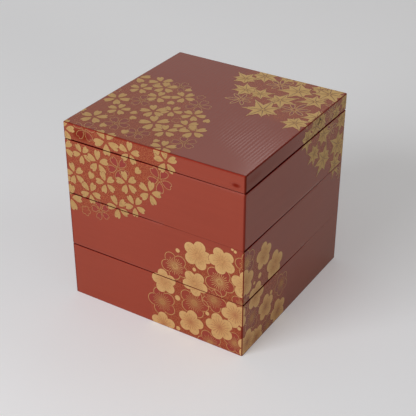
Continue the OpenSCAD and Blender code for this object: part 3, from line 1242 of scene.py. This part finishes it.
def paint_plums(drawing, rims, threads, rows):
    """Five round lobes filled with gold, with stamens drawn over them in red."""
    flowers = columns(rows)
    lobes = filled(plum_outline(), rings=(0.25, 0.6, 0.85, 1.0))
    stamp(drawing, lobes, flowers, from_middle(lobes, 1.5))
    stamp(rims, filled(widened(plum_outline(), RIM / PLUM_SIZE)), flowers, 0.0)
    low = flowers[1] > PLAIN_ABOVE
    for chosen, width in ((low, STAMEN_WIDTH), (~low, RUBBED_WIDTH)):
        stamp(threads, strokes(*FILLED_STAMENS, width), flowers[:, chosen], 0.0, turned=6)
    stamp(threads, filled(disc(FILLED_HEART)), flowers[:, low], 0.0)


def draw_plums(line, ground, rows):
    """Plain lacquer lobes inside a line, and a thick burst of gold stamens round an eye."""
    flowers = columns(rows)
    stamp(ground, filled(plum_outline()), flowers, 1.0)
    stamp(line, band(plum_outline(), STROKE / PLUM_SIZE), flowers, 1.0)
    fresh = np.interp(flowers[1], FRESH_FROM, FRESH_TO)[:, None]
    stamp(line, strokes(*DRAWN_STAMENS, DRAWN_WIDTH), flowers, fresh, scaled=1 / PLUM_SIZE)
    stamp(line, filled(disc(DRAWN_EYE)), flowers, 0.0, scaled=1 / PLUM_SIZE)


def paint_buds(drawing, rows):
    """Round buds."""
    u, v, size = columns(rows)
    stamp(drawing, filled(disc(1.0)), (u, v, size, 0.0), 0.9)


print("plum outline of", len(plum_outline()), "points")

# %% Maple painters
VEIN_FROM = 0.06
VEIN_REACH = 0.84


def vein_lines(kind, width=0.046):
    """One fine line from the stalk into each lobe, tapering to its end."""
    angle, sway, long = swayed_lobes(kind)
    turn = np.radians(angle + sway)
    ahead = np.stack([np.cos(turn), np.sin(turn)], axis=1)
    aside = np.stack([-ahead[:, 1], ahead[:, 0]], axis=1) * width / 2
    start, end = ahead * VEIN_FROM, ahead * (long * VEIN_REACH)[:, None]
    points = np.stack([start - aside, end - aside * 0.3, end + aside * 0.3, start + aside], axis=1)
    return points.reshape(-1, 2), np.arange(4 * len(turn)).reshape(-1, 4)


def paint_maples(drawing, rims, threads, rows):
    """Filled leaves, no two alike, with red veins drawn over the gold."""
    for kind, row in enumerate(rows):
        flower = columns([row])
        leaf = filled(maple_outline(kind), rings=(0.5, 1.0))
        stamp(rims, filled(widened(maple_outline(kind), RIM / LEAF_SIZE)), flower, 0.0)
        stamp(drawing, leaf, flower, from_middle(leaf))
        stamp(threads, vein_lines(kind), flower, 0.0)
        rims.layer += 2
        drawing.layer += 2
        threads.layer += 1


def draw_maples(line, ground, rows):
    """Leaves of seven plain blades, each inside a line."""
    flowers = columns(rows)
    for angle, long in LEAF_LOBES:
        stamp(ground, filled(blade(), PETAL_MIDDLE), flowers, 1.0, angle, long * 1.04)
        stamp(line, band(blade(), STROKE / BLADE_SIZE), flowers, 1.0, angle, long * 1.04)


print("maple leaf of", len(maple_outline()), "points, with", len(LEAF_LOBES), "veins")

# %% [markdown]
# ## Painting
# One drawing per roundel, face and layer: the plain ground of the drawn flowers first, then their gold
# lines, then the filled flowers with their red rims, then stamens and veins over the gold. They could
# all lie at one height, but films that cross there would fight for the same place; a few thousandths of
# a millimetre between them are enough.

# %% Paint the box
THREAD_TONES = {
    "plum": ((0.36, 0.115, 0.042), (0.45, 0.18, 0.065)),
    "maple": ((0.20, 0.06, 0.025), (0.26, 0.09, 0.035)),
}
THREADS = {}
for flower, (dark, light) in THREAD_TONES.items():
    THREADS[flower] = Finish(flower + "_threads", Roughness=0.4)
    shades = THREADS[flower].noise(900.0).between(paint(*dark), paint(*light))
    THREADS[flower].feed("Base Color", shades)


class Layers:
    """The layers of one roundel on one face, gilded together. Rims and solid shapes take turns in
    height, so that a later flower's red rim crosses the flowers painted before it."""

    FIRST_LAYER = {"ground": 0, "line": 12, "rims": 30, "solid": 31, "threads": 84}

    def __init__(self, flower, home):
        self.flower = flower
        self.name = f"{flower}_{home}"
        for part, layer in self.FIRST_LAYER.items():
            drawing = Drawing(home)
            drawing.layer = layer
            setattr(self, part, drawing)

    def gild(self):
        """Makes the films of every layer that holds a shape."""
        gold = GOLDS[self.flower]
        line_gold = GOLDS.get(self.flower + "_line", gold)
        for part, finish, slot in (
            ("ground", plain_lacquer, "outside_lacquer"), ("line", line_gold, "gold_decoration"),
            ("rims", plain_lacquer, "outside_lacquer"), ("solid", gold, "gold_decoration"),
            ("threads", THREADS.get(self.flower), "outside_lacquer"),
        ):
            drawing = getattr(self, part)
            if drawing.count:
                gild(drawing, f"{self.name}_{part}", finish)


for home, solid, drawn, loose, rosettes in (
    ("front", CHERRY_FRONT, CHERRY_FRONT_DRAWN, LOOSE_FRONT, ROSETTES_FRONT),
    ("top", CHERRY_TOP, CHERRY_TOP_DRAWN, LOOSE_TOP, ROSETTES_TOP),
    ("left", CHERRY_LEFT, CHERRY_LEFT_DRAWN, LOOSE_LEFT, []),
):
    layers = Layers("cherry", home)
    draw_cherries(layers.line, layers.ground, drawn)
    if rosettes:
        paint_rosettes(layers.line, rosettes)
    paint_cherries(layers.solid, layers.rims, solid)
    paint_loose(layers.solid, loose)
    layers.gild()

for home, solid, drawn, buds in (
    ("front", PLUM_FRONT, PLUM_FRONT_DRAWN, BUDS_FRONT),
    ("right", PLUM_RIGHT, PLUM_RIGHT_DRAWN, BUDS_RIGHT),
):
    layers = Layers("plum", home)
    draw_plums(layers.line, layers.ground, drawn)
    paint_plums(layers.solid, layers.rims, layers.threads, solid)
    paint_buds(layers.solid, buds)
    layers.gild()

for home, solid, drawn in (
    ("top", MAPLE_TOP, MAPLE_TOP_DRAWN),
    ("right", MAPLE_RIGHT, MAPLE_RIGHT_DRAWN),
    ("back", MAPLE_BACK, MAPLE_BACK_DRAWN),
):
    layers = Layers("maple", home)
    draw_maples(layers.line, layers.ground, drawn)
    paint_maples(layers.solid, layers.rims, layers.threads, solid)
    layers.gild()

# %% [markdown]
# ## The table
# A sheet of pale paper, wide enough to fill the view, slightly cool and a little darker in two places
# behind and beside the box. It takes the box's shadow as any paper does. It could be lit brighter to be
# paler, but that would bleach the box, so it glows faintly instead, and only to the rays that look at it
# or mirror it; the mirrored glow is warmer, as it is on the lacquer of the right side.

# %% Table
FLOOR_HALF = 6.0
TABLE_GLOW = 0.195
BLACK = paint(0.0, 0.0, 0.0)
WHITE = paint(1.0, 1.0, 1.0)
MIRRORED_GLOW = paint(0.72, 0.68, 0.50)
PAPER_DARK = paint(0.80, 0.82, 0.865)
PAPER_LIGHT = paint(0.82, 0.84, 0.885)
FAR_SHADE = ((-0.80, 0.10, 0.0), (0.90, 0.55, 1.0))
NEAR_SHADE = ((-0.12, -0.10, 0.0), (0.32, 0.20, 1.0))


def rays_that_look(root):
    """1 for a ray that comes straight from the camera or through glass; and 1 for a mirrored one."""
    kinds = ("Is Camera Ray", "Is Transmission Ray", "Is Glossy Ray")
    straight, through, mirrored = (root.node("ShaderNodeLightPath", output=kind) for kind in kinds)
    return straight.math("MAXIMUM", through), mirrored


table_finish = Finish("table_paper", Roughness=0.9, Emission_Strength=TABLE_GLOW)
shaded = table_finish.spot(*FAR_SHADE).ramp(0.0, 0.5) * 0.09
shaded = shaded + table_finish.spot(*NEAR_SHADE).ramp(0.0, 0.6) * 0.07
paper = table_finish.noise(1.2).between(PAPER_DARK, PAPER_LIGHT)
table_finish.feed("Base Color", shaded.between(paper, BLACK))
looking, mirrored = rays_that_look(table_finish.root)
table_finish.feed("Emission Color", mirrored.between(looking.between(BLACK, WHITE), MIRRORED_GLOW))

table_corners = [(x * FLOOR_HALF, y * FLOOR_HALF, 0) for x, y in ((-1, -1), (1, -1), (1, 1), (-1, 1))]
table_mesh = bpy.data.meshes.new("table")
table_mesh.from_pydata(table_corners, [], [(0, 1, 2, 3)])
table_mesh.materials.append(table_finish.material)
table = bpy.data.objects.new("table", table_mesh)
bpy.context.scene.collection.objects.link(table)
print("table of", 2 * FLOOR_HALF, "m")

# %% [markdown]
# ## Lamps and room
# One large soft box at the front left does most of the work. Two small weak ones stand behind, where
# the lid's top mirrors them to the camera, and draw the sheen near the right corner and the ripple of the
# brush marks. The room is a dim warm grey for the light that it gives, and shows itself paler only to the
# rays that look at it or mirror it, so that the gloss picks up a pale room without a brighter one.

# %% Lamps and world
# Where each lamp stands, what it faces, its width and height in metres, and its watts.
LAMPS = {
    "key_softbox": ((-0.72, -2.05, 1.05), (0.0, 0.0, 0.1), 1.5, 1.5, 39.0),
    "sheen_softbox": ((-0.490, 1.085, 1.014), (0.140, -0.120, 0.19), 0.15, 0.17, 0.11),
    "glaze_softbox": ((-0.580, 1.000, 1.000), (0.110, -0.140, 0.19), 0.26, 0.36, 0.055),
}
ROOM_TINT = paint(1.0, 0.960, 0.905)
ROOM_LIGHT = 0.295
ROOM_SEEN = 0.65


def lamp(name, place, aim, width, height, watts):
    """A soft box: an area lamp at place, turned to face aim."""
    data = bpy.data.lights.new(name, "AREA")
    data.shape = "RECTANGLE"
    data.size = width
    data.size_y = height
    data.energy = watts
    made = bpy.data.objects.new(name, data)
    made.location = place
    made.rotation_euler = (Vector(aim) - Vector(place)).to_track_quat("-Z", "Y").to_euler()
    bpy.context.scene.collection.objects.link(made)
    return made


key, sheen, glaze = (lamp(name, *settings) for name, settings in LAMPS.items())

world = bpy.data.worlds.new("room")
bpy.context.scene.world = world
world.use_nodes = True
background = world.node_tree.nodes["Background"]
background.inputs["Color"].default_value = ROOM_TINT
looking, mirrored = rays_that_look(Value(world.node_tree, None))
strength = looking.math("MAXIMUM", mirrored).ramp(0.0, 1.0, ROOM_LIGHT, ROOM_SEEN)
world.node_tree.links.new(strength.socket, background.inputs["Strength"])

bpy.context.scene.view_settings.view_transform = "Standard"
print("lamps:", key.name, sheen.name, glaze.name)
